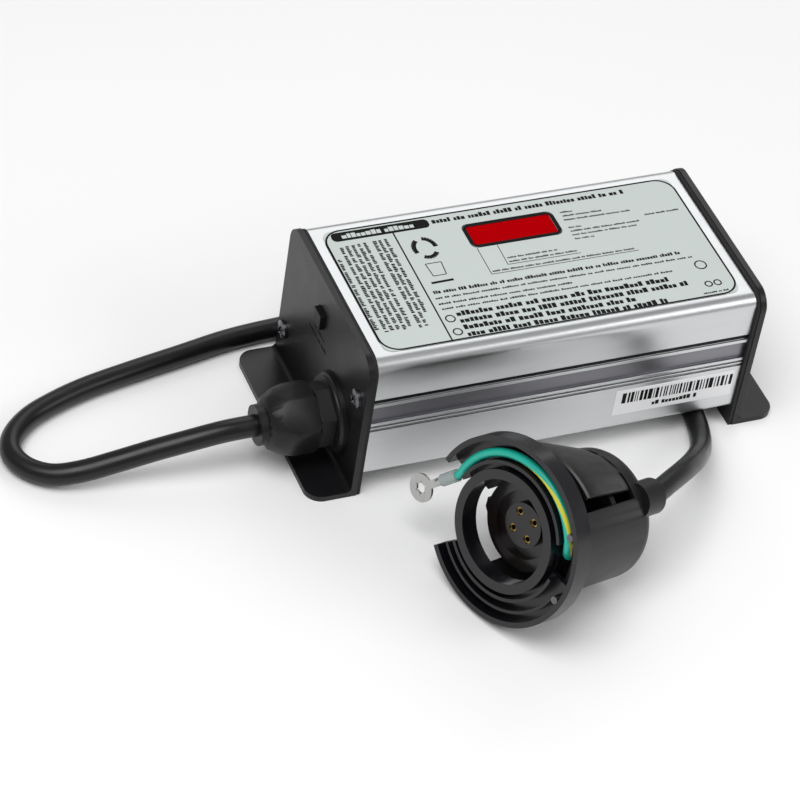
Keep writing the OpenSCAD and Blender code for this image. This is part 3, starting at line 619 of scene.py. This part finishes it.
labelPrint = {
    "height": 68.95,
    "border": (-77.0, -36.2, 77.0, 35.2), "borderRadius": 7.5, "borderWidth": 0.8,
    "pill": (-73.8, 28.9, -31.8, 34.1), "pillRadius": 2.1,
    "pillMarks": ((-69.5, 31.5), (-37, 31.5)), "pillMarkSize": (2.6, 0.75),
    "header": ((-30.4, 31.8), (55.5, 31.6)), "headerHeight": 2.5,
    "divider": ((-48.3, 29.4), (-48.9, -36.2)), "dividerWidth": 0.65,
    "columns": [(-75.3, 18.6, -23.8), (-71.9, 25.2, -26.5), (-69.4, 25.6, -25.5), (-66.8, 25.6, -25.6),
                (-64.2, 25.8, -26.0), (-61.6, 26.0, -25.0), (-57.6, 26.0, -27.0), (-55.1, 26.0, -26.0),
                (-52.6, 26.2, -20.0)],
    "columnLean": 0.3, "columnSize": (1.7, 0.5), "smallSize": (1.25, 0.6, 0.75),
    "small": [((23.6, 25.4), (30.4, 25.2)), ((23.8, 23.1), (41.5, 22.8)), ((23.4, 20.6), (53.4, 20.2)),
              ((23.4, 15.9), (30.1, 15.7)), ((23.3, 13.6), (54.5, 13.3)), ((23.1, 11.3), (52.2, 11.0)),
              ((23.2, 8.9), (32.3, 8.7)), ((-8.6, 4.4), (14.0, 4.4)), ((-8.8, 2.1), (21.5, 2.0)),
              ((-17.6, -1.9), (44.6, -2.2)), ((61.1, -34.2), (72.8, -34.2)), ((57.6, 16.2), (73.6, 16.2))],
    "medium": [((-45.8, -8.4), (62.4, -9.0), 1.9, 0.95), ((-46.3, -11.6), (66.5, -12.2), 1.7, 0.6),
               ((-46.3, -15.0), (11.3, -15.4), 1.7, 0.6), ((-46.1, -18.0), (54.3, -18.4), 1.7, 0.6)],
    "bold": [((-41.6, -22.2), (51.2, -22.9)), ((-41.6, -26.2), (59.4, -26.9)),
             ((-41.6, -30.1), (34.0, -30.7)), ((-41.6, -34.1), (46.4, -34.5))],
    "mediumLetter": 0.55, "boldHeight": 2.7, "boldLetter": 0.68, "leaderWidth": 0.3,
    "leaders": [[(-18.4, 12.4), (-18.6, -3.6), (46.0, -3.8)], [(-9.6, 12.4), (-9.9, 0.4), (22.0, 0.2)]],
    "windowFrame": (-19.2, 13.5, 19.4, 26.3), "frameRadius": 1.9, "frameWidth": 1.8,
    "rings": [(-44.9, -24.2, 1.9), (-44.9, -32.0, 1.8), (67.3, -18.0, 2.4), (65.6, -29.4, 1.5),
              (69.6, -29.4, 1.5)], "ringWidth": 0.6,
    "arcCentre": (-38.9, 17.4), "arcRadii": (4.6, 5.6), "arcStarts": (0, 120, 240),
    "arcStep": 12, "arcPoints": 8, "arcWidth": 2.0,
    "binOutline": [(-42, 0.8), (-36.4, 0.8), (-35.8, 8.2), (-42.6, 8.2)], "binWidth": 0.4,
    "binBar": ((-44.4, -3.0), (-34.8, -2.8)), "binBarWidth": 1.2,
}


def printFaceLabel(setup):
    draw = random.Random(11)
    bm = bmesh.new()
    flat = Matrix.Scale(mm, 4) @ Matrix.Translation((0, 0, setup["height"]))
    inkLoop(bm, flat, roundCorners(*setup["border"], setup["borderRadius"]), setup["borderWidth"])
    inkPatch(bm, flat, roundCorners(*setup["pill"], setup["pillRadius"]))
    inkRow(bm, flat, *setup["header"], setup["headerHeight"], draw)
    inkBar(bm, flat, *setup["divider"], setup["dividerWidth"])
    height, letter = setup["columnSize"]
    for x, top, bottom in setup["columns"]:
        inkRow(bm, flat, (x, top), (x - setup["columnLean"], bottom), height, draw, letter)
    height, letter, fill = setup["smallSize"]
    for a, b in setup["small"]:
        inkRow(bm, flat, a, b, height, draw, letter, fill)
    for a, b, height, fill in setup["medium"]:
        inkRow(bm, flat, a, b, height, draw, setup["mediumLetter"], fill)
    for a, b in setup["bold"]:
        inkRow(bm, flat, a, b, setup["boldHeight"], draw, setup["boldLetter"])
    for line in setup["leaders"]:
        inkLoop(bm, flat, line, setup["leaderWidth"], close=False)
    inkLoop(bm, flat, roundCorners(*setup["windowFrame"], setup["frameRadius"]), setup["frameWidth"])
    for x, y, r in setup["rings"]:
        inkLoop(bm, flat, [(x + r * math.cos(a * math.pi / 8), y + r * math.sin(a * math.pi / 8))
                           for a in range(16)], setup["ringWidth"])
    # three plain arcs in a ring, and a plain square over a bar
    (x, y), (rx, ry) = setup["arcCentre"], setup["arcRadii"]
    for start in setup["arcStarts"]:
        turns = [math.radians(start + setup["arcStep"] * k) for k in range(setup["arcPoints"])]
        inkLoop(bm, flat, [(x + rx * math.cos(a), y + ry * math.sin(a)) for a in turns],
                setup["arcWidth"], close=False)
    inkLoop(bm, flat, setup["binOutline"], setup["binWidth"])
    inkBar(bm, flat, *setup["binBar"], setup["binBarWidth"])
    return meshPiece("faceLabelPrint", bm, "blackInk")




def printPillMarks(setup):
    bm = bmesh.new()
    flat = Matrix.Scale(mm, 4) @ Matrix.Translation((0, 0, setup["height"] + inkThickness))
    height, letter = setup["pillMarkSize"]
    inkRow(bm, flat, *setup["pillMarks"], height, random.Random(2), letter)
    return meshPiece("labelHeaderMarks", bm, "labelFilm")


serialPrint = {"faceY": -42.7, "from": 29.2, "to": 77.6, "low": 23.2, "high": 28.8,
               "barWidths": (0.4, 0.6, 0.9, 1.3, 1.8), "gaps": (0.45, 0.6, 0.8, 1.0),
               "row": (43.5, 65.0, 20.6), "rowSize": (2.2, 0.7)}


def printSerialLabel(setup):
    draw = random.Random(5)
    bm = bmesh.new()
    upright = (Matrix.Scale(mm, 4) @ Matrix.Translation((0, setup["faceY"], 0))
               @ Matrix.Rotation(math.radians(90), 4, "X"))
    x = setup["from"]
    while x < setup["to"]:
        w = draw.choice(setup["barWidths"])
        inkBar(bm, upright, (x + w / 2, setup["low"]), (x + w / 2, setup["high"]), w)
        x += w + draw.choice(setup["gaps"])
    first, last, middle = setup["row"]
    height, letter = setup["rowSize"]
    inkRow(bm, upright, (first, middle), (last, middle), height, draw, letter)
    return meshPiece("serialLabelPrint", bm, "blackInk")


# each row on the plate: from, to, both as (distance to the right, height), and row height
platePrint = {"faceX": -86.0, "rows": [((-10.5, 44.4), (1.2, 44.4), 1.5),
                                       ((-15.2, 40.6), (4.8, 40.6), 1.7)]}


def printEndPlate(setup):
    draw = random.Random(3)
    bm = bmesh.new()
    facing = (Matrix.Scale(mm, 4) @ Matrix.Translation((setup["faceX"], 0, 0))
              @ Matrix(((0, 0, -1, 0), (-1, 0, 0, 0), (0, 1, 0, 0), (0, 0, 0, 1))))
    for a, b, height in setup["rows"]:
        inkRow(bm, facing, a, b, height, draw)
    return meshPiece("endPlatePrint", bm, "blackInk")


for piece in (printFaceLabel(labelPrint), printPillMarks(labelPrint),
              printSerialLabel(serialPrint), printEndPlate(platePrint)):
    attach(piece, "controller")
print("printing done")

# ---- studio ----

studio = {
    "floorSize": 8.0,
    "worldWhite": 0.35,
    "aim": (0, -0.02, 0.03),
    "lights": [
        {"name": "keyPanel", "at": (-0.5, -0.35, 1.3), "size": 0.9, "watts": 12.5},
        {"name": "sidePanel", "at": (1.0, -0.9, 0.9), "size": 0.8, "watts": 6},
        {"name": "backPanel", "at": (0.6, 1.0, 1.05), "size": 1.0, "watts": 4.2},
    ],
}


def buildStudio(setup):
    bm = bmesh.new()
    bmesh.ops.create_grid(bm, x_segments=2, y_segments=2, size=setup["floorSize"] / 2)
    floor = meshPiece("studioFloor", bm, "studioPaper")
    world = bpy.data.worlds.new("studioWhite")
    world.use_nodes = True
    sky = world.node_tree.nodes["Background"].inputs
    sky["Color"].default_value = (1, 1, 1, 1)
    sky["Strength"].default_value = setup["worldWhite"]
    bpy.context.scene.world = world
    for panel in setup["lights"]:
        data = bpy.data.lights.new(panel["name"], "AREA")
        data.shape = "SQUARE"
        data.size = panel["size"]
        data.energy = panel["watts"]
        light = bpy.data.objects.new(panel["name"], data)
        bpy.context.scene.collection.objects.link(light)
        aim = Vector(setup["aim"]) - Vector(panel["at"])
        turn = aim.to_track_quat("-Z", "Y").to_matrix().to_4x4()
        light.matrix_world = Matrix.Translation(panel["at"]) @ turn


buildStudio(studio)
bpy.context.scene.view_settings.view_transform = "Standard"
print("studio lit")
